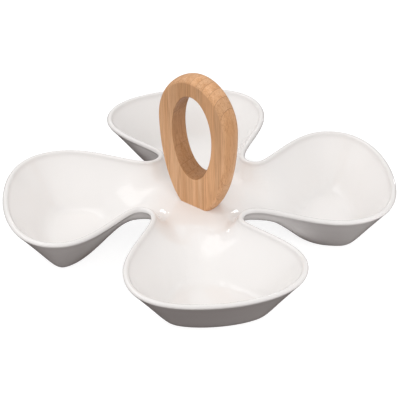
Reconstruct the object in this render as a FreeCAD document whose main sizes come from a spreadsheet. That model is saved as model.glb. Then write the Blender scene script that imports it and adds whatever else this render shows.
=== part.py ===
import FreeCAD, Part
import Sketcher
import math
import os

# Chip and dip server: a four-bowl glazed dish whose bowls turn like a pinwheel round a low hub,
# with an upright ring handle of edge-glued bamboo strips held by one screw from below.
# Frame: millimetres, +Z up, origin at the middle of the dish on the table. The bowls point along
# +X, +Y, -X and -Y, and the handle's face is turned 45 degrees between two of them.

Vector = FreeCAD.Vector

doc = FreeCAD.newDocument("chip_and_dip_server")
sheet = doc.addObject("Spreadsheet::Sheet", "Dimensions")

DIMENSIONS = {
    # dish, in plan
    "tip_radius": 170,
    "notch_radius": 59,
    "notch_round": 9.5,
    "notch_turn": 8.4,
    "leading_arc": 54.6,
    "leading_neck_pull": 11.3,
    "leading_widest_at": 121,
    "leading_half_width": 74,
    "leading_inner_pull": 29,
    "leading_outer_pull": 40,
    "leading_tip_pull": 25.5,
    "trailing_arc": 35.8,
    "trailing_neck_pull": 17.2,
    "trailing_widest_at": 117.5,
    "trailing_half_width": 73.8,
    "trailing_inner_pull": 30.5,
    "trailing_outer_pull": 41.5,
    "trailing_tip_pull": 39,
    # dish, in section
    "rim_height": 49,
    "lip_radius": 2.5,
    "wall_thickness": 6.3,
    "floor_height": 4.5,
    "floor_blend": 14,
    "floor_inner_axis": 36,
    "floor_skew": 0.4,
    "inner_reach": 26,
    "outer_reach": 40,
    "reach_blend": 8,
    "hub_top": 31.5,
    "hub_flat_radius": 36,
    "hub_slope_end": 88,
    "hub_under": 24.5,
    "hub_level_radius": 22,
    "under_blend": 2,
    "foot_centre": 122.4,
    "foot_outer_axis": 13.2,
    "foot_inner_axis": 28.6,
    "foot_half_width": 39.6,
    "foot_skew": 0.7,
    "foot_sink": 2,
    "foot_recess_depth": 1,
    "foot_recess_share": 0.78,
    "foot_middle": 115,
    "spoke_ring_radius": 18,
    "hub_hole": 7,
    # handle
    "handle_angle": -45,
    "handle_thickness": 19,
    "handle_half_width": 38.1,
    "handle_widest_at": 78.4,
    "handle_height": 123.8,
    "handle_lower_axis": 88,
    "handle_crown_depth": 4.1,
    "opening_half_width": 21.1,
    "opening_centre": 71,
    "opening_upper_axis": 36.9,
    "opening_lower_axis": 42.9,
    "opening_round": 1,
    "strip_count": 12,
    # fastening
    "insert_outer": 9,
    "insert_bore": 6,
    "insert_length": 13,
    "screw_shank": 5.9,
    "screw_reach": 22,
    "screw_head": 12,
    "screw_head_height": 4,
    "screw_head_round": 1.8,
    "screw_socket": 4,
    "screw_socket_depth": 2.2,
    "washer_outer": 16,
    "washer_bore": 6.4,
    "washer_thickness": 1.2,
    "seal_outer": 18,
    "seal_bore": 6.4,
    "seal_thickness": 1.5,
}
for row, (alias, value) in enumerate(DIMENSIONS.items(), start=1):
    sheet.set(f"A{row}", alias)
    sheet.set(f"B{row}", str(value))
    sheet.setAlias(f"B{row}", alias)
doc.recompute()


def dim(alias):
    return float(sheet.get(alias))


# ---------------------------------------------------------------- dish, in plan

QUARTER = math.pi / 2
COLUMNS = 56        # columns of surface poles along one bowl's outline
SPOKE_ROWS = 24     # rows used to lay the spokes out before they are spaced
RELAX_ROUNDS = 150
# Where the rows of poles lie along a spoke: 0 at the lip, 1 at the hub.
ROW_PLACES = (
    0.01, 0.025, 0.045, 0.07, 0.1, 0.135, 0.175, 0.22, 0.265, 0.315, 0.365,
    0.415, 0.47, 0.525, 0.58, 0.635, 0.69, 0.745, 0.8, 0.855, 0.905, 0.955, 1.0,
)


def turned(point, angle):
    c, s = math.cos(angle), math.sin(angle)
    return (point[0] * c - point[1] * s, point[0] * s + point[1] * c)


def mix(a, b, part):
    return (a[0] + (b[0] - a[0]) * part, a[1] + (b[1] - a[1]) * part)


def bezier(p0, p1, p2, p3, steps):
    points = []
    for i in range(steps + 1):
        f = i / steps
        g = 1 - f
        weights = (g * g * g, 3 * g * g * f, 3 * g * f * f, f * f * f)
        points.append(tuple(sum(w * p[k] for w, p in zip(weights, (p0, p1, p2, p3))) for k in (0, 1)))
    return points


def bowl_side(side, notch_angle):
    """One side of a bowl's outline, from the middle of the notch to the tip on +X, on the +Y side."""
    notch = math.radians(notch_angle)
    notch_round = dim("notch_round")
    reach = dim("notch_radius") + notch_round
    centre = (reach * math.cos(notch), reach * math.sin(notch))
    turn = math.radians(dim(side + "_arc"))
    points = []
    for i in range(25):
        angle = math.pi + notch + turn * i / 24
        points.append((centre[0] + notch_round * math.cos(angle), centre[1] + notch_round * math.sin(angle)))
    end = points[-1]
    heading = math.pi + notch + turn + QUARTER
    pull = dim(side + "_neck_pull")
    widest = (dim(side + "_widest_at"), dim(side + "_half_width"))
    after_neck = (end[0] + pull * math.cos(heading), end[1] + pull * math.sin(heading))
    before_widest = (widest[0] - dim(side + "_inner_pull"), widest[1])
    after_widest = (widest[0] + dim(side + "_outer_pull"), widest[1])
    tip = (dim("tip_radius"), 0)
    before_tip = (tip[0], dim(side + "_tip_pull"))
    points += bezier(end, after_neck, before_widest, widest, 60)[1:]
    points += bezier(widest, after_widest, before_tip, tip, 60)[1:]
    return points


def bowl_outline():
    """The outline of the bowl on +X, from its trailing notch (-Y) by the tip to its leading notch (+Y)."""
    leading = bowl_side("leading", 45 - dim("notch_turn"))
    trailing = [(x, -y) for x, y in bowl_side("trailing", 45 + dim("notch_turn"))]
    return trailing + leading[-2::-1]


def softened(points, parts):
    """A smooth line of points through the given ones, each gap filled with a number of parts."""
    ends = [mix(points[0], points[1], -1)] + points + [mix(points[-1], points[-2], -1)]
    line = [points[0]]
    for before, a, b, after in zip(ends, ends[1:], ends[2:], ends[3:]):
        leave = (a[0] + (b[0] - before[0]) / 6, a[1] + (b[1] - before[1]) / 6)
        arrive = (b[0] - (after[0] - a[0]) / 6, b[1] - (after[1] - a[1]) / 6)
        line += bezier(a, leave, arrive, b, parts)[1:]
    return line


def spaced(points, places):
    """Points at the given shares of a polyline's length."""
    lengths = [0.0]
    for a, b in zip(points, points[1:]):
        lengths.append(lengths[-1] + math.dist(a, b))
    found = []
    k = 0
    for place in places:
        target = place * lengths[-1]
        while k < len(points) - 2 and lengths[k + 1] < target:
            k += 1
        found.append(mix(points[k], points[k + 1], (target - lengths[k]) / (lengths[k + 1] - lengths[k])))
    return found


def column_places():
    """Shares of the outline's length at the columns: close together in the notches, wide at the tip."""
    crowding = 0.62
    shares = [i / COLUMNS for i in range(COLUMNS + 1)]
    return [f - crowding * math.sin(2 * math.pi * f) / (2 * math.pi) for f in shares]


def with_neighbours(row):
    """A row of one bowl's columns, with one column of each neighbouring bowl added at its ends."""
    return [turned(row[-1], -QUARTER)] + row + [turned(row[0], QUARTER)]


def outward(row):
    """The outward normal of a closed line at each of one bowl's columns."""
    full = with_neighbours(row)
    normals = []
    for before, after in zip(full, full[2:]):
        run = math.dist(before, after)
        normals.append(((after[1] - before[1]) / run, (before[0] - after[0]) / run))
    return normals


def lay_spokes(start, normals, ring):
    """Curved spokes from the lip to a ring on the hub, relaxed until they fan out with no two crossing."""
    rows = []
    for i in range(SPOKE_ROWS):
        rows.append([])
        for a, normal, b in zip(start, normals, ring):
            reach = math.dist(a, b)
            size = math.hypot(*b)
            leave = (a[0] - normal[0] * reach * 0.3, a[1] - normal[1] * reach * 0.3)
            arrive = (b[0] * (1 + 0.45 * reach / size), b[1] * (1 + 0.45 * reach / size))
            rows[i].append(bezier(a, leave, arrive, b, SPOKE_ROWS - 1)[i])
    for _ in range(RELAX_ROUNDS):
        wide = [with_neighbours(row) for row in rows]
        for i in range(1, SPOKE_ROWS - 1):
            above, here, below = wide[i - 1], wide[i], wide[i + 1]
            for j in range(1, COLUMNS + 1):
                along = [(here[j + 1][k] - here[j - 1][k]) / 2 for k in (0, 1)]
                across = [(below[j][k] - above[j][k]) / 2 for k in (0, 1)]
                alpha = across[0] ** 2 + across[1] ** 2
                gamma = along[0] ** 2 + along[1] ** 2
                beta = along[0] * across[0] + along[1] * across[1]
                moved = []
                for k in (0, 1):
                    twist = (below[j + 1][k] - below[j - 1][k] - above[j + 1][k] + above[j - 1][k]) / 4
                    pull = alpha * (here[j + 1][k] + here[j - 1][k]) + gamma * (below[j][k] + above[j][k])
                    moved.append((pull - 2 * beta * twist) / (2 * (alpha + gamma)))
                rows[i][j - 1] = mix(rows[i][j - 1], moved, 0.8)
    return [softened([row[j] for row in rows], 8) for j in range(COLUMNS)]


# ---------------------------------------------------------------- dish, in section

def smooth_max(a, b, blend):
    """The larger of two heights, with a smooth fillet where they are within the blend of each other."""
    nearness = max(blend - abs(a - b), 0) / blend
    return max(a, b) + nearness ** 3 * blend / 6


def smooth_min(a, b, blend):
    return -smooth_max(-a, -b, blend)


def smooth_step(value):
    share = min(max(value, 0), 1)
    return share * share * (3 - 2 * share)


def levelled(height, level, radius):
    """A height drawn to the hub's level: wholly so in the middle, and not at all past twice the flat's radius."""
    share = smooth_step((2 * dim("hub_level_radius") - radius) / dim("hub_level_radius"))
    return height + (level - height) * share


def inner_height(inset, floor_gap, radius):
    """The height of the eating surface, from the distances to the outline, the floor and the dish's middle."""
    top = dim("rim_height") - dim("lip_radius")
    floor = dim("floor_height")
    run = max(inset - 2 * dim("lip_radius"), 0)
    gap = smooth_min(max(floor_gap, 0.01), dim("inner_reach"), dim("reach_blend"))
    wall = top - (top - floor) * run / (run + gap)
    rise = smooth_step((dim("hub_slope_end") - radius) / (dim("hub_slope_end") - dim("hub_flat_radius")))
    height = smooth_max(wall, floor + (dim("hub_top") - floor) * rise, dim("floor_blend"))
    return levelled(height, dim("hub_top"), radius)


def outer_height(inset, foot_gap, radius, inside):
    """The height of the outside and underside, which keeps a wall's thickness under the eating surface
    and dips below the table where the feet are cut."""
    top = dim("rim_height") - dim("lip_radius")
    sunk = -dim("foot_sink")
    gap = min(foot_gap, dim("outer_reach"))
    wall = smooth_max(top * gap / (inset + max(gap, 0)), sunk, 2 * dim("under_blend"))
    roof = inside - dim("wall_thickness") * min(inset / (2 * dim("lip_radius")), 1)
    height = smooth_min(wall, max(roof, sunk), dim("under_blend"))
    return levelled(height, dim("hub_under"), radius)


def egg_outline(part):
    """The outline of the +X bowl's foot or floor: an egg whose hub end leans to the trailing side."""
    points = []
    for i in range(72):
        angle = math.radians(5 * i)
        along = math.cos(angle)
        aside = math.sin(angle)
        axis = dim("foot_outer_axis")
        if along < 0:
            axis = dim(part + "_inner_axis") * (1 - dim(part + "_skew") * aside)
        points.append((dim("foot_centre") + axis * along, dim("foot_half_width") * aside))
    return points


def distance_to(points, place):
    """The distance from a place to a closed line of points."""
    best = float("inf")
    for a, b in zip(points, points[1:] + points[:1]):
        run = (b[0] - a[0], b[1] - a[1])
        size = run[0] ** 2 + run[1] ** 2
        share = ((place[0] - a[0]) * run[0] + (place[1] - a[1]) * run[1]) / size
        share = min(max(share, 0), 1)
        best = min(best, math.dist(place, (a[0] + share * run[0], a[1] + share * run[1])))
    return best


def within(points, place):
    """Whether a place is inside a closed line of points."""
    crossings = 0
    for a, b in zip(points, points[1:] + points[:1]):
        if (a[1] > place[1]) != (b[1] > place[1]):
            if place[0] < a[0] + (place[1] - a[1]) * (b[0] - a[0]) / (b[1] - a[1]):
                crossings += 1
    return crossings % 2 == 1


def gap_to(outline, place):
    """The distance from a place to the nearest of the four bowls' copies of an outline, negative inside."""
    gaps = []
    for quarter in range(4):
        here = turned(place, quarter * QUARTER)
        gap = distance_to(outline, here)
        gaps.append(-gap if within(outline, here) else gap)
    return min(gaps)


def dish_columns():
    """Columns of points for one bowl, each from the hub's top out over the lip and back to its underside."""
    outline = bowl_outline()
    rim = spaced(outline, column_places())[:-1]
    normals = outward(rim)
    whole_rim = []
    for quarter in range(4):
        whole_rim += [turned(point, quarter * QUARTER) for point in spaced(outline, [i / 160 for i in range(160)])]
    lip_radius = dim("lip_radius")
    lip_height = dim("rim_height") - lip_radius
    start = [(p[0] - n[0] * 2 * lip_radius, p[1] - n[1] * 2 * lip_radius) for p, n in zip(rim, normals)]
    first_angle = -math.radians(45 + dim("notch_turn"))
    ring = []
    for place in column_places()[:-1]:
        ring.append(turned((dim("spoke_ring_radius"), 0), first_angle + QUARTER * place))
    lip_steps = 6
    floor_edge = egg_outline("floor")
    foot_edge = egg_outline("foot")

    def inside(place):
        return inner_height(distance_to(whole_rim, place), gap_to(floor_edge, place), math.hypot(*place))

    def outside(place):
        inset = distance_to(whole_rim, place)
        return outer_height(inset, gap_to(foot_edge, place), math.hypot(*place), inside(place))

    columns = []
    for spoke, p, n in zip(lay_spokes(start, normals, ring), rim, normals):
        inner = []
        outer = []
        for share, place in zip(ROW_PLACES, spaced(spoke, ROW_PLACES)):
            inner.append(Vector(*place, inside(place)))
            shift = 2 * lip_radius * (1 - share) ** 3
            moved = (place[0] + n[0] * shift, place[1] + n[1] * shift)
            outer.append(Vector(*moved, outside(moved)))
        lip = []
        for i in range(lip_steps + 1):
            angle = math.pi * i / lip_steps
            inset = lip_radius * (1 + math.cos(angle))
            height = lip_height + lip_radius * math.sin(angle)
            lip.append(Vector(p[0] - n[0] * inset, p[1] - n[1] * inset, height))
        columns.append(inner[::-1] + lip + outer)
    return columns


# ---------------------------------------------------------------- dish, as a solid

def sharpened(row):
    """Poles whose cubic curve passes very near the row's points; the first and last are only neighbours."""
    return [b * (4 / 3) - (a + c) / 6 for a, b, c in zip(row, row[1:], row[2:])]


def with_ends(row):
    """A row with one more point run on straight at each end."""
    return [row[0] * 2 - row[1]] + row + [row[-1] * 2 - row[-2]]


def clamped(poles):
    """The end-clamped poles of the uniform cubic span between the second pole and the last but one."""
    first = (poles[0] + poles[1] * 4 + poles[2]) / 6
    second = (poles[1] * 2 + poles[2]) / 3
    before_last = (poles[-2] * 2 + poles[-3]) / 3
    last = (poles[-1] + poles[-2] * 4 + poles[-3]) / 6
    return [first, second] + poles[2:-2] + [before_last, last]


def patch(columns):
    """A cubic surface face through the inside of a grid of poles."""
    half = [clamped(column) for column in columns]
    rows = [clamped(list(row)) for row in zip(*half)]
    grid = [list(column) for column in zip(*rows)]
    knots = []
    for count in (len(grid), len(grid[0])):
        spans = count - 3
        knots.append([i for i in range(spans + 1)])
    mults = [[4] + [1] * (len(k) - 2) + [4] for k in knots]
    surface = Part.BSplineSurface()
    surface.buildFromPolesMultsKnots(grid, mults[0], mults[1], knots[0], knots[1], False, False, 3, 3)
    return surface.toShape()


def dish_body():
    """The closed dish before its feet are cut: four equal sectors of surface with a flat disc at the hub."""
    points = dish_columns()

    def rotated(column, quarter):
        return [Vector(*turned((pole.x, pole.y), quarter * QUARTER), pole.z) for pole in column]

    wide = [rotated(points[-2], -1), rotated(points[-1], -1)] + points
    wide += [rotated(points[k], 1) for k in range(3)]
    columns = []
    for column in zip(*[sharpened(list(row)) for row in zip(*wide)]):
        columns.append(with_ends(sharpened(with_ends(list(column)))))
    rows = len(points[0]) + 2
    lip_start = len(ROW_PLACES)
    breaks = (0, lip_start - 1, rows - lip_start - 3, rows - 3)
    faces = []
    for first, last in zip(breaks, breaks[1:]):
        face = patch([column[first:last + 3] for column in columns])
        for quarter in range(4):
            faces.append(face.rotated(Vector(), Vector(0, 0, 1), 90 * quarter))
    for height in (dim("hub_top"), dim("hub_under")):
        edges = []
        for face in faces:
            for edge in face.Edges:
                ends = (edge.valueAt(edge.FirstParameter), edge.valueAt(edge.LastParameter))
                on_ring = all(abs(math.hypot(v.x, v.y) - dim("spoke_ring_radius")) < 0.05 for v in ends)
                if on_ring and all(abs(v.z - height) < 0.01 for v in ends):
                    edges.append(edge)
        faces.append(Part.Face(Part.Wire(Part.__sortEdges__(edges))))
    shell = Part.makeShell(faces)
    shell.sewShape()
    solid = Part.makeSolid(shell)
    if solid.Volume < 0:
        solid.reverse()
    return solid


def dish_shape():
    """The finished dish: flat feet with a shallow recess in each, and the screw's hole in the hub."""
    body = dish_body()
    size = 2 * dim("tip_radius") + 20
    depth = 20
    body = body.cut(Part.makeBox(size, size, depth, Vector(-size / 2, -size / 2, -depth)))
    middle = (dim("foot_middle"), 0)
    recess = Part.BSplineCurve()
    edge = [mix(middle, point, dim("foot_recess_share")) for point in egg_outline("foot")]
    recess.interpolate([Vector(*point, 0) for point in edge[::3]], PeriodicFlag=True)
    tool = Part.Face(Part.Wire(recess.toShape())).extrude(Vector(0, 0, dim("foot_recess_depth")))
    for quarter in range(4):
        body = body.cut(tool.rotated(Vector(), Vector(0, 0, 1), 90 * quarter))
    body = body.cut(Part.makeCylinder(dim("hub_hole") / 2, dim("rim_height")))
    return body.Solids[0]


dish = doc.addObject("Part::Feature", "dish")
dish.Label = "dish"
dish.Shape = dish_shape()
dish.Placement = FreeCAD.Placement()
nodes = [dish]


# ---------------------------------------------------------------- handle

CROWN_SECTIONS = 9
CROWN_REACH = math.radians(80)     # how far round its elliptic arc the crown runs to each face


def half_oval(centre, half_width, axis, upper):
    """The upper or lower half of an oval that stands in a plane parallel to XZ."""
    side = centre + Vector(half_width, 0, 0)
    top = centre + Vector(0, 0, axis)
    if axis > half_width:
        whole = Part.Ellipse(top, side, centre)
        first = -QUARTER if upper else QUARTER
    else:
        whole = Part.Ellipse(side, top, centre)
        first = 0 if upper else math.pi
    return Part.Arc(whole, first, first + math.pi).toShape()


def egg_wire(centre, half_width, upper_axis, lower_axis):
    """An upright egg, widest at its centre."""
    upper = half_oval(centre, half_width, upper_axis, True)
    lower = half_oval(centre, half_width, lower_axis, False)
    return Part.Wire([upper, lower])


def crowned_board():
    """The handle's outside: an upright egg, fullest halfway through its thickness."""
    widest = dim("handle_widest_at")
    half_thickness = dim("handle_thickness") / 2
    sections = []
    for i in range(CROWN_SECTIONS):
        angle = CROWN_REACH * (2 * i / (CROWN_SECTIONS - 1) - 1)
        inset = dim("handle_crown_depth") * (1 - math.cos(angle))
        centre = Vector(0, half_thickness * math.sin(angle) / math.sin(CROWN_REACH), widest)
        sections.append(egg_wire(
            centre,
            dim("handle_half_width") - inset,
            dim("handle_height") - widest - inset,
            dim("handle_lower_axis") - inset,
        ))
    return Part.makeLoft(sections, True, False)


def opening_prism():
    """The egg-shaped hole for the fingers, a board's thickness deep."""
    thickness = dim("handle_thickness")
    front = egg_wire(
        Vector(0, -thickness / 2, dim("opening_centre")),
        dim("opening_half_width"),
        dim("opening_upper_axis"),
        dim("opening_lower_axis"),
    )
    return Part.Face(front).extrude(Vector(0, thickness, 0))


def opening_edges(ring):
    """The edges round the opening on the ring's front and back faces."""
    half_width = dim("opening_half_width") + 1
    found = []
    for edge in ring.Edges:
        box = edge.BoundBox
        if box.YLength < 0.01 and -half_width < box.XMin and box.XMax < half_width and box.ZMin > 20:
            found.append(edge)
    return found


def handle_blank_shape():
    """The whole ring handle before it is parted into strips: face in XZ, base on the origin."""
    board = crowned_board()
    span = 4 * dim("handle_half_width")
    board = board.cut(Part.makeBox(span, span, span, Vector(-span / 2, -span / 2, -span)))
    ring = board.cut(opening_prism())
    ring = ring.makeFillet(dim("opening_round"), opening_edges(ring))
    bore = Part.makeCylinder(dim("insert_outer") / 2, dim("insert_length"))
    return ring.cut(bore)


handle_blank = doc.addObject("Part::Feature", "handle_blank")
handle_blank.Label = "handle blank before parting"
handle_blank.Shape = handle_blank_shape()
handle_blank.Placement = FreeCAD.Placement()

# The board is glued up from upright strips, each as deep as the board is thick.
for number in range(1, int(dim("strip_count")) + 1):
    cutter = doc.addObject("Part::Box", f"strip_cutter_{number:02d}")
    cutter.setExpression("Length", "2 * Dimensions.handle_half_width / Dimensions.strip_count")
    cutter.setExpression("Width", "2 * Dimensions.handle_thickness")
    cutter.setExpression("Height", "2 * Dimensions.handle_height")
    place = "2 * Dimensions.handle_half_width / Dimensions.strip_count"
    cutter.setExpression("Placement.Base.x", f"{number - 1} * {place} - Dimensions.handle_half_width")
    cutter.setExpression("Placement.Base.y", "-Dimensions.handle_thickness")
    cutter.setExpression("Placement.Base.z", "-Dimensions.handle_height / 2")
    strip = doc.addObject("Part::Common", f"handle_strip_{number:02d}")
    strip.Label = f"handle_strip_{number:02d}"
    strip.Base = handle_blank
    strip.Tool = cutter
    strip.Placement = FreeCAD.Placement(Vector(), FreeCAD.Rotation(Vector(0, 0, 1), dim("handle_angle")))
    strip.setExpression("Placement.Base.z", "Dimensions.hub_top")
    nodes.append(strip)


# ---------------------------------------------------------------- fastening under the hub

def tube(name, outer, bore, length, base):
    """A washer or bush: a cylinder with a through hole, standing on a height."""
    body = doc.addObject("Part::Cylinder", name + "_body")
    body.setExpression("Radius", f"Dimensions.{outer} / 2")
    body.setExpression("Height", f"Dimensions.{length}")
    hole = doc.addObject("Part::Cylinder", name + "_hole")
    hole.setExpression("Radius", f"Dimensions.{bore} / 2")
    hole.setExpression("Height", f"Dimensions.{length}")
    ring = doc.addObject("Part::Cut", name)
    ring.Label = name
    ring.Base = body
    ring.Tool = hole
    ring.setExpression("Placement.Base.z", base)
    nodes.append(ring)
    return ring


SEAL_BASE = "Dimensions.hub_under - Dimensions.seal_thickness"
WASHER_BASE = SEAL_BASE + " - Dimensions.washer_thickness"
tube("threaded_insert", "insert_outer", "insert_bore", "insert_length", "Dimensions.hub_top")
tube("seal_washer", "seal_outer", "seal_bore", "seal_thickness", SEAL_BASE)
tube("steel_washer", "washer_outer", "washer_bore", "washer_thickness", WASHER_BASE)

screw = doc.addObject("PartDesign::Body", "handle_screw")
screw.Label = "handle_screw"
ground = next(o for o in screw.Origin.OriginFeatures if o.Role == "XY_Plane")


def round_sketch(name, diameter):
    sketch = screw.newObject("Sketcher::SketchObject", name)
    sketch.AttachmentSupport = [(ground, "")]
    sketch.MapMode = "FlatFace"
    sketch.addGeometry(Part.Circle(Vector(), Vector(0, 0, 1), dim(diameter) / 2))
    sketch.addConstraint(Sketcher.Constraint("Coincident", 0, 3, -1, 1))
    size = sketch.addConstraint(Sketcher.Constraint("Diameter", 0, dim(diameter)))
    sketch.setExpression(f"Constraints[{size}]", f"Dimensions.{diameter}")
    return sketch


def pad(name, profile, length, downward):
    feature = screw.newObject("PartDesign::Pad", name)
    feature.Profile = profile
    feature.setExpression("Length", f"Dimensions.{length}")
    feature.Reversed = downward
    return feature


pad("shank", round_sketch("shank_outline", "screw_shank"), "screw_reach", False)
head = pad("head", round_sketch("head_outline", "screw_head"), "screw_head_height", True)
doc.recompute()

low_edges = []
for index, edge in enumerate(head.Shape.Edges, start=1):
    if edge.BoundBox.ZMax < 0.01 - dim("screw_head_height"):
        low_edges.append(f"Edge{index}")
head_round = screw.newObject("PartDesign::Fillet", "head_round")
head_round.Base = (head, low_edges)
head_round.setExpression("Radius", "Dimensions.screw_head_round")
doc.recompute()

socket_outline = screw.newObject("Sketcher::SketchObject", "socket_outline")
socket_outline.AttachmentSupport = [(ground, "")]
socket_outline.MapMode = "FlatFace"
socket_outline.setExpression("AttachmentOffset.Base.z", "-Dimensions.screw_head_height")
corner_radius = dim("screw_socket") / math.sqrt(3)
corners = [Vector(*turned((corner_radius, 0), k * math.pi / 3), 0) for k in range(6)]
for a, b in zip(corners, corners[1:] + corners[:1]):
    socket_outline.addGeometry(Part.LineSegment(a, b))
for k in range(6):
    socket_outline.addConstraint(Sketcher.Constraint("Coincident", k, 2, (k + 1) % 6, 1))
before_socket = screw.Tip.Shape.Volume
socket = screw.newObject("PartDesign::Pocket", "socket")
socket.Profile = socket_outline
socket.setExpression("Length", "Dimensions.screw_socket_depth")
socket.Reversed = True
screw.setExpression("Placement.Base.z", WASHER_BASE)
nodes.append(screw)
doc.recompute()
if screw.Shape.Volume >= before_socket - 1:
    raise RuntimeError("the screw's socket cut nothing")


# ---------------------------------------------------------------- check and export

for item in doc.Objects:
    if "Invalid" in item.State or "Error" in item.State:
        raise RuntimeError(f"{item.Name} failed: {item.State}")
for node in nodes:
    if node.Shape.isNull() or not node.Shape.isValid() or node.Shape.Volume <= 0:
        raise RuntimeError(f"{node.Label} has no valid shape")

os.makedirs("parts", exist_ok=True)
for node in nodes:
    node.Shape.exportStep(f"parts/{node.Label}.step")
    box = node.Shape.optimalBoundingBox(False, False)
    print(f"{node.Label}: {len(node.Shape.Solids)} solid(s), {node.Shape.Volume / 1000:.2f} cm3, "
          f"z {box.ZMin:.1f} to {box.ZMax:.1f}")
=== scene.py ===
import math

import bpy
from mathutils import Matrix, Vector


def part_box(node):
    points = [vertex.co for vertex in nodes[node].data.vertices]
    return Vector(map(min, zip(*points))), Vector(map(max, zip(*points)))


# A chip and dip server: a glazed four-bowl dish with a ring handle of laminated bamboo, on a white table.
# Lengths are metres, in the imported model's own frame. Noise scales are in waves per metre.

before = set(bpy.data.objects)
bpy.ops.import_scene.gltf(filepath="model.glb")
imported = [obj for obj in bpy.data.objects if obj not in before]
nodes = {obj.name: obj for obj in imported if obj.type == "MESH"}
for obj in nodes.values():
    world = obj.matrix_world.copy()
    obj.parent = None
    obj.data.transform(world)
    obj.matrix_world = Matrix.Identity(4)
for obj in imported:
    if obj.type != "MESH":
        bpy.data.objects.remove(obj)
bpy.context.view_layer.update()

MM = 0.001
UPWARD = Vector((0, 0, 1))
scene = bpy.context.scene

RIM_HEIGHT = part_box("dish")[1].z
HUB_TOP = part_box("threaded_insert")[0].z
STRIPS = sorted(name for name in nodes if name.startswith("handle_strip"))
HANDLE_TURN = math.radians(45)
HANDLE_WIDTH = 76.2 * MM
OPENING_HEIGHT = 71 * MM     # the middle of the handle's opening above the hub

THICK_GLAZE = ((0.79, 0.768, 0.752, 1), (0.815, 0.795, 0.782, 1))
# Painted shade: the grey that tones down the lip.
LIP_SHADE_TONE = (0.66, 0.635, 0.62, 1)
CLAY = ((0.62, 0.57, 0.50, 1), (0.72, 0.67, 0.60, 1))
PALE_BAMBOO = (0.76, 0.455, 0.258, 1)
RICH_BAMBOO = (0.64, 0.345, 0.168, 1)
DARK_BAMBOO = (0.50, 0.24, 0.10, 1)
FIBRE_SHADE = (0.66, 0.56, 0.46, 1)
GLUE_LINE = (0.22, 0.09, 0.03, 1)
# Painted shade for the handle's opening.
OPENING_SHADE = (0.62, 0.56, 0.47, 1)
BRASS = (0.72, 0.52, 0.22, 1)
STEEL = (0.62, 0.62, 0.63, 1)
SILICONE = ((0.68, 0.68, 0.66, 1), (0.78, 0.78, 0.76, 1))
TABLE = ((0.29, 0.29, 0.29, 1), (0.31, 0.31, 0.31, 1))
WHITE = (1, 1, 1, 1)


# ---------------------------------------------------------------- materials

NOISE_RANGE = (0.3, 0.7)     # most of a noise texture's values lie between these
MIX_FACTOR, MIX_A, MIX_B, MIX_RESULT = 0, 6, 7, 2     # the Mix node's sockets when it mixes colours


class Shader:
    """A material whose nodes are added and joined by short calls."""

    def __init__(self, name):
        self.material = bpy.data.materials.new(name)
        self.material.use_nodes = True
        self.tree = self.material.node_tree
        self.surface = self.tree.nodes["Principled BSDF"]

    def node(self, kind, settings=None, **inputs):
        made = self.tree.nodes.new("ShaderNode" + kind)
        for key, value in (settings or {}).items():
            setattr(made, key, value)
        for key, value in inputs.items():
            self.feed(made.inputs[key.replace("_", " ")], value)
        return made

    def feed(self, socket, value):
        if isinstance(value, bpy.types.NodeSocket):
            self.tree.links.new(value, socket)
        else:
            socket.default_value = value

    def feed_all(self, sockets, values):
        for socket, value in zip(sockets, values):
            self.feed(socket, value)

    def set(self, **values):
        for key, value in values.items():
            self.feed(self.surface.inputs[key.replace("_", " ")], value)

    def math(self, operation, *values):
        made = self.node("Math", {"operation": operation})
        self.feed_all(made.inputs, values)
        return made.outputs[0]

    def times(self, a, b):
        return self.math("MULTIPLY", a, b)

    def size_of(self, value):
        return self.math("ABSOLUTE", value)

    def vector_math(self, operation, *values):
        made = self.node("VectorMath", {"operation": operation})
        self.feed_all(made.inputs, values)
        return made

    def coordinates(self, kind="Object"):
        return self.node("TexCoord").outputs[kind]

    def mapped(self, vector, **change):
        """Coordinates after a Location, Rotation or Scale."""
        return self.node("Mapping", Vector=vector, **change).outputs[0]

    def part(self, vector, axis):
        return self.node("SeparateXYZ", Vector=vector).outputs[axis]

    def noise(self, vector, scale, detail=2.0, roughness=0.5):
        made = self.node("TexNoise", Vector=vector, Scale=scale, Detail=detail, Roughness=roughness)
        return made.outputs["Fac"]

    def ramp(self, value, *stops):
        made = self.node("ValToRGB", Fac=value)
        for element, (position, color) in zip(made.color_ramp.elements, stops):
            element.position = position
            element.color = color
        return made.outputs["Color"]

    def tones(self, noise, low_tone, high_tone):
        """A colour that follows a noise from one tone to the other."""
        return self.ramp(noise, *zip(NOISE_RANGE, (low_tone, high_tone)))

    def blend(self, factor, a, b, mode="MIX"):
        made = self.node("Mix", {"data_type": "RGBA", "blend_type": mode})
        self.feed_all((made.inputs[MIX_FACTOR], made.inputs[MIX_A], made.inputs[MIX_B]), (factor, a, b))
        return made.outputs[MIX_RESULT]

    def span(self, value, low, high, to_low=0.0, to_high=1.0):
        """A smooth step from one number to another as the value goes from low to high."""
        made = self.node("MapRange", {"interpolation_type": "SMOOTHSTEP"}, Value=value)
        self.feed_all(made.inputs[1:5], (low, high, to_low, to_high))
        return made.outputs[0]

    def bump(self, height, strength, distance, under=None):
        made = self.node("Bump", Height=height, Strength=strength, Distance=distance)
        if under is not None:
            self.feed(made.inputs["Normal"], under)
        return made.outputs[0]


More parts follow.
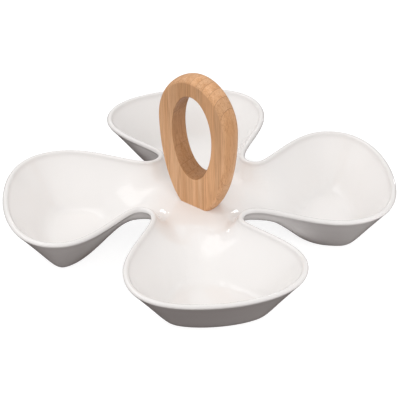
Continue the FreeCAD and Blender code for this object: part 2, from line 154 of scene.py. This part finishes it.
def glaze_material():
    """Gloss warm-white glaze with a faint unevenness, and bare matt clay on the foot rings."""
    shader = Shader("glaze")
    place = shader.coordinates()
    height = shader.part(place, "Z")
    tone = shader.tones(shader.noise(place, scale=14, detail=3), *THICK_GLAZE)
    # Painted shade: the glaze greys over the top 6 mm up to the lip, by up to 45 percent at the top, to tone
    # down the lip's brightness.
    lip_shade = shader.span(height, RIM_HEIGHT - 6 * MM, RIM_HEIGHT, to_low=0, to_high=0.45)
    tone = shader.blend(lip_shade, tone, LIP_SHADE_TONE)
    foot = shader.span(height, 0.9 * MM, 1.6 * MM, to_low=1, to_high=0)
    clay = shader.tones(shader.noise(place, scale=900, detail=4), *CLAY)
    clay_roughness = shader.times(foot, 0.85)
    smears = shader.noise(place, scale=60, detail=3)
    glaze_roughness = shader.span(smears, 0.35, 0.65, to_low=0.05, to_high=0.09)
    waves = shader.bump(shader.noise(place, scale=38), strength=0.06, distance=0.5 * MM)
    peel = shader.noise(place, scale=420, detail=1)
    shader.set(
        Base_Color=shader.blend(foot, tone, clay),
        Roughness=shader.math("MAXIMUM", glaze_roughness, clay_roughness),
        Normal=shader.bump(peel, strength=0.03, distance=0.04 * MM, under=waves),
        IOR=1.5,
    )
    return shader.material


def glue_lines(shader, cells, upright):
    """1 on the joints between strips. They show most on cut ends, at the ring's top and the opening's ends."""
    last_joint = len(STRIPS) / 2 - 0.5
    middle_offset = shader.math("SUBTRACT", shader.math("FRACT", cells), 0.5)
    from_middle = shader.times(shader.size_of(middle_offset), 2)
    # The outermost strips have no joint on their free side.
    joined = shader.span(shader.size_of(cells), last_joint, last_joint + 0.05, to_low=1, to_high=0)
    joint = shader.times(shader.span(from_middle, 0.93, 1.0), joined)
    across_grain = shader.span(shader.size_of(upright), 0.1, 0.7, to_low=0.25, to_high=1)
    return shader.times(joint, across_grain)


def opening_surface(shader, facing):
    """1 on the wall of the handle's opening, which faces the opening's middle."""
    to_middle = (0, 0, -HUB_TOP - OPENING_HEIGHT)
    from_middle = shader.mapped(shader.coordinates(), Location=to_middle)
    outwardness = shader.vector_math("DOT_PRODUCT", from_middle, facing).outputs["Value"]
    return shader.span(outwardness, -12 * MM, -3 * MM, to_low=1, to_high=0)


def crowned_edge(shader, facing):
    """1 where the surface turns away from the handle's two faces."""
    face_direction = (math.sin(HANDLE_TURN), math.cos(HANDLE_TURN), 0)
    edgewise = shader.vector_math("DOT_PRODUCT", facing, face_direction).outputs["Value"]
    return shader.span(shader.size_of(edgewise), 0.6, 0.95, to_low=1, to_high=0)


def bamboo_material():
    """Oiled bamboo: strips with their own tone and dark glue lines, and fibres that run up the handle."""
    shader = Shader("bamboo")
    place = shader.mapped(shader.coordinates(), Rotation=(0, 0, HANDLE_TURN))
    facing = shader.coordinates("Normal")
    upright = shader.part(facing, "Z")
    cells = shader.math("DIVIDE", shader.part(place, "X"), HANDLE_WIDTH / len(STRIPS))
    strip_number = shader.math("FLOOR", cells)
    own = shader.node("TexWhiteNoise", {"noise_dimensions": "1D"}, W=strip_number).outputs["Value"]

    # Fibres: fine across, long up the handle, and started at a different height in each strip.
    start = shader.node("CombineXYZ", X=0.0, Y=0.0, Z=shader.times(own, 3)).outputs[0]
    strip_place = shader.vector_math("ADD", place, start).outputs["Vector"]
    along_fibre = shader.mapped(strip_place, Scale=(1, 1, 0.02))
    fine = shader.noise(along_fibre, scale=1700, detail=3, roughness=0.65)
    bundles = shader.span(shader.noise(along_fibre, scale=560), 0.5, 0.72, to_low=0, to_high=0.55)
    broad = shader.noise(along_fibre, scale=150)
    cloudy = shader.noise(shader.mapped(strip_place, Scale=(1, 1, 0.15)), scale=55)
    color = shader.tones(broad, PALE_BAMBOO, RICH_BAMBOO)
    color = shader.blend(bundles, color, DARK_BAMBOO)
    color = shader.blend(0.75, color, shader.ramp(fine, (0.34, FIBRE_SHADE), (0.5, WHITE)), "MULTIPLY")

    tone = shader.span(own, 0, 1, to_low=0.93, to_high=1.06)
    tone_color = shader.node("CombineColor", Red=tone, Green=tone, Blue=tone).outputs[0]
    color = shader.blend(1.0, color, tone_color, "MULTIPLY")
    color = shader.blend(shader.span(cloudy, 0.5, 0.75, to_low=0, to_high=0.25), color, RICH_BAMBOO)

    # Painted shade: the opening's wall is darkened, and its upward-facing floor under the ring more.
    opening_shade = opening_surface(shader, facing)
    opening_floor_shade = shader.times(opening_shade, shader.span(upright, 0.15, 0.8))
    color = shader.blend(shader.times(opening_shade, 0.55), color, OPENING_SHADE, "MULTIPLY")
    color = shader.blend(shader.times(opening_floor_shade, 0.55), color, OPENING_SHADE, "MULTIPLY")

    # Cut fibre ends speckle the crowned edge.
    cut_ends = shader.noise(shader.mapped(strip_place, Scale=(1, 1, 0.3)), scale=950)
    speckles = shader.times(shader.span(cut_ends, 0.56, 0.72), crowned_edge(shader, facing))
    color = shader.blend(shader.times(speckles, 0.5), color, DARK_BAMBOO)

    glue = glue_lines(shader, cells, upright)
    color = shader.blend(shader.times(glue, 0.7), color, GLUE_LINE)
    ridges = shader.bump(fine, strength=0.2, distance=0.1 * MM)
    glue_depth = shader.math("SUBTRACT", 1, glue)
    shader.set(
        Base_Color=color,
        Roughness=shader.span(fine, *NOISE_RANGE, to_low=0.6, to_high=0.46),
        Normal=shader.bump(glue_depth, strength=0.3, distance=0.1 * MM, under=ridges),
        Specular_IOR_Level=0.3,
    )
    return shader.material


def metal_material(name, color, roughness):
    """Turned metal with faint rings of tool marks about the screw's axis."""
    shader = Shader(name)
    place = shader.coordinates()
    squares = [shader.math("POWER", shader.part(place, axis), 2) for axis in "XY"]
    radius = shader.math("SQRT", shader.math("ADD", *squares))
    around = shader.node("CombineXYZ", X=radius, Y=0.0, Z=shader.part(place, "Z")).outputs[0]
    rings = shader.noise(around, scale=2500)
    dull = (*(channel * 0.82 for channel in color[:3]), 1)
    shader.set(
        Base_Color=shader.tones(shader.noise(place, scale=300), dull, color),
        Metallic=1.0,
        Roughness=shader.span(rings, *NOISE_RANGE, to_low=roughness, to_high=roughness + 0.18),
        Normal=shader.bump(rings, strength=0.2, distance=0.03 * MM),
    )
    return shader.material


def silicone_material():
    """Milky silicone with a slightly mottled surface."""
    shader = Shader("seal_silicone")
    mottle = shader.noise(shader.coordinates(), scale=500, detail=3)
    shader.set(
        Base_Color=shader.tones(mottle, *SILICONE),
        Roughness=shader.span(mottle, *NOISE_RANGE, to_low=0.45, to_high=0.6),
        Normal=shader.bump(mottle, strength=0.2, distance=0.05 * MM),
        Subsurface_Weight=0.2,
        Subsurface_Scale=1 * MM,
    )
    return shader.material


def dress(names, material):
    for name in names:
        piece = nodes[name]
        piece.data.materials.clear()
        piece.data.materials.append(material)


dress(["dish"], glaze_material())
dress(STRIPS, bamboo_material())
dress(["threaded_insert"], metal_material("insert_brass", BRASS, roughness=0.28))
dress(["handle_screw", "steel_washer"], metal_material("screw_steel", STEEL, roughness=0.22))
dress(["seal_washer"], silicone_material())


# ---------------------------------------------------------------- camera

CAMERA_AZIMUTH = 185.47
CAMERA_RISE = 33.48
CAMERA_ROLL = math.radians(-1.23)
CAMERA_DISTANCE = 1.1642
AIM_RIGHT, AIM_UP = 0.0003, -0.0137
LENS_MM, SENSOR_MM = 120.7, 36

rim_centre = Vector((0, 0, RIM_HEIGHT))


def outward(azimuth, rise):
    """The direction away from the dish at an azimuth (0 behind, 90 to the right) and a rise, in degrees."""
    azimuth = math.radians(azimuth)
    rise = math.radians(rise)
    return Vector((
        math.sin(azimuth) * math.cos(rise),
        math.cos(azimuth) * math.cos(rise),
        math.sin(rise),
    ))


def right_and_up(forward):
    """The level right and the up of a view along forward."""
    right = forward.cross(UPWARD).normalized()
    return right, right.cross(forward)


def add_camera():
    """A camera that looks at the rim's centre, with a small shift of aim and a roll."""
    back = outward(CAMERA_AZIMUTH, CAMERA_RISE)
    position = rim_centre + back * CAMERA_DISTANCE
    right, up = right_and_up(-back)
    forward = (rim_centre + right * AIM_RIGHT + up * AIM_UP - position).normalized()
    right, up = right_and_up(forward)
    rolled_right = right * math.cos(CAMERA_ROLL) + up * math.sin(CAMERA_ROLL)
    rolled_up = up * math.cos(CAMERA_ROLL) - right * math.sin(CAMERA_ROLL)
    data = bpy.data.cameras.new("camera")
    data.sensor_width = SENSOR_MM
    data.lens = LENS_MM
    camera = bpy.data.objects.new("camera", data)
    camera.matrix_world = Matrix((rolled_right, rolled_up, -forward)).transposed().to_4x4()
    camera.location = position
    scene.collection.objects.link(camera)
    scene.camera = camera


add_camera()


# ---------------------------------------------------------------- stage and light

FLOOR_SIZE = 30
FLOOR_GLOW = 0.84
SKY_STRENGTH = 0.84
SKY_STOPS = (
    (0.30, (0.064, 0.043, 0.040, 1)),
    (0.50, (0.25, 0.198, 0.187, 1)),
    (0.64, WHITE),
)
GAP_MIDDLE = 56 * MM
BOUNCE_SIZE = 30 * MM
BOUNCE_POWER = 0.009


def floor_material():
    """A lit white sweep: it glows a little, so that only faint shadows show on it."""
    shader = Shader("floor_white")
    shader.set(
        Base_Color=shader.tones(shader.noise(shader.coordinates(), scale=30), *TABLE),
        Roughness=0.9,
        Specular_IOR_Level=0.0,
        Emission_Color=WHITE,
        Emission_Strength=FLOOR_GLOW,
    )
    # Its underside is clear, so it doesn't hide the object's underside.
    one_sided = shader.node("MixShader")
    shader.feed_all(one_sided.inputs, (
        shader.node("NewGeometry").outputs["Backfacing"],
        shader.surface.outputs[0],
        shader.node("BsdfTransparent").outputs[0],
    ))
    shader.feed(shader.tree.nodes["Material Output"].inputs["Surface"], one_sided.outputs[0])
    return shader.material


bpy.ops.mesh.primitive_plane_add(size=FLOOR_SIZE)
floor = bpy.context.object
floor.name = "floor"
floor.data.materials.append(floor_material())
# The white table shows, but the object neither mirrors it nor takes light from it.
floor.visible_diffuse = False
floor.visible_glossy = False


def add_light(name, location, size, power, mirrored):
    """A rectangular softbox with its lit side along its own -Z."""
    data = bpy.data.lights.new(name, "AREA")
    data.shape = "RECTANGLE"
    data.size, data.size_y = size
    data.energy = power
    light = bpy.data.objects.new(name, data)
    light.location = location
    light.visible_glossy = mirrored
    light.visible_camera = False
    scene.collection.objects.link(light)
    return light


def softbox(name, azimuth, rise, distance, size, power, mirrored):
    """A softbox that faces the rim's centre."""
    away = outward(azimuth, rise)
    light = add_light(name, rim_centre + away * distance, size, power, mirrored)
    light.rotation_euler = away.to_track_quat("Z", "Y").to_euler()


def bounce_light(name, x, y):
    """A patch of bright table in the gap between two bowls, which faces up and lights their undersides."""
    light = add_light(name, (x, y, MM), (BOUNCE_SIZE, BOUNCE_SIZE), BOUNCE_POWER, mirrored=False)
    light.rotation_euler = (math.pi, 0, 0)


# Broad lights shape the object. The small mirrored ones only make glints on the lips and shoulders.
softbox("key", azimuth=-62, rise=52, distance=1.45, size=(1.5, 1.0), power=6.4, mirrored=True)
softbox("fill_front", azimuth=172, rise=40, distance=1.5, size=(1.0, 0.6), power=6.4, mirrored=False)
softbox("glint_back", azimuth=6, rise=24, distance=1.5, size=(0.10, 0.07), power=0.3, mirrored=True)
softbox("glint_back_left", azimuth=-36, rise=9, distance=1.5, size=(0.08, 0.08), power=0.25, mirrored=True)
softbox("glint_back_right", azimuth=45, rise=5, distance=1.5, size=(0.08, 0.08), power=0.25, mirrored=True)
# Low cards beside the dish lighten the outside of the left and right bowls.
softbox("card_right", azimuth=131, rise=-8, distance=0.33, size=(0.08, 0.08), power=0.24, mirrored=False)
softbox("card_left", azimuth=-131, rise=-8, distance=0.33, size=(0.08, 0.08), power=0.14, mirrored=False)

for side_x in (-1, 1):
    for side_y in (-1, 1):
        bounce_light(f"bounce_{side_x + 1}_{side_y + 1}", side_x * GAP_MIDDLE, side_y * GAP_MIDDLE)


def studio_world():
    """White from a little above the horizon up, and warm grey below."""
    world = bpy.data.worlds.new("studio")
    world.use_nodes = True
    tree = world.node_tree
    sky = tree.nodes["Background"]
    sky.inputs["Strength"].default_value = SKY_STRENGTH
    coordinates = tree.nodes.new("ShaderNodeTexCoord")
    split = tree.nodes.new("ShaderNodeSeparateXYZ")
    height = tree.nodes.new("ShaderNodeMapRange")
    height.inputs["From Min"].default_value = -1
    ramp = tree.nodes.new("ShaderNodeValToRGB")
    ramp.color_ramp.elements.new(0.5)
    for element, (position, color) in zip(ramp.color_ramp.elements, SKY_STOPS):
        element.position = position
        element.color = color
    tree.links.new(coordinates.outputs["Generated"], split.inputs[0])
    tree.links.new(split.outputs["Z"], height.inputs["Value"])
    tree.links.new(height.outputs[0], ramp.inputs["Fac"])
    tree.links.new(ramp.outputs["Color"], sky.inputs["Color"])
    return world


scene.world = studio_world()
scene.view_settings.view_transform = "Standard"
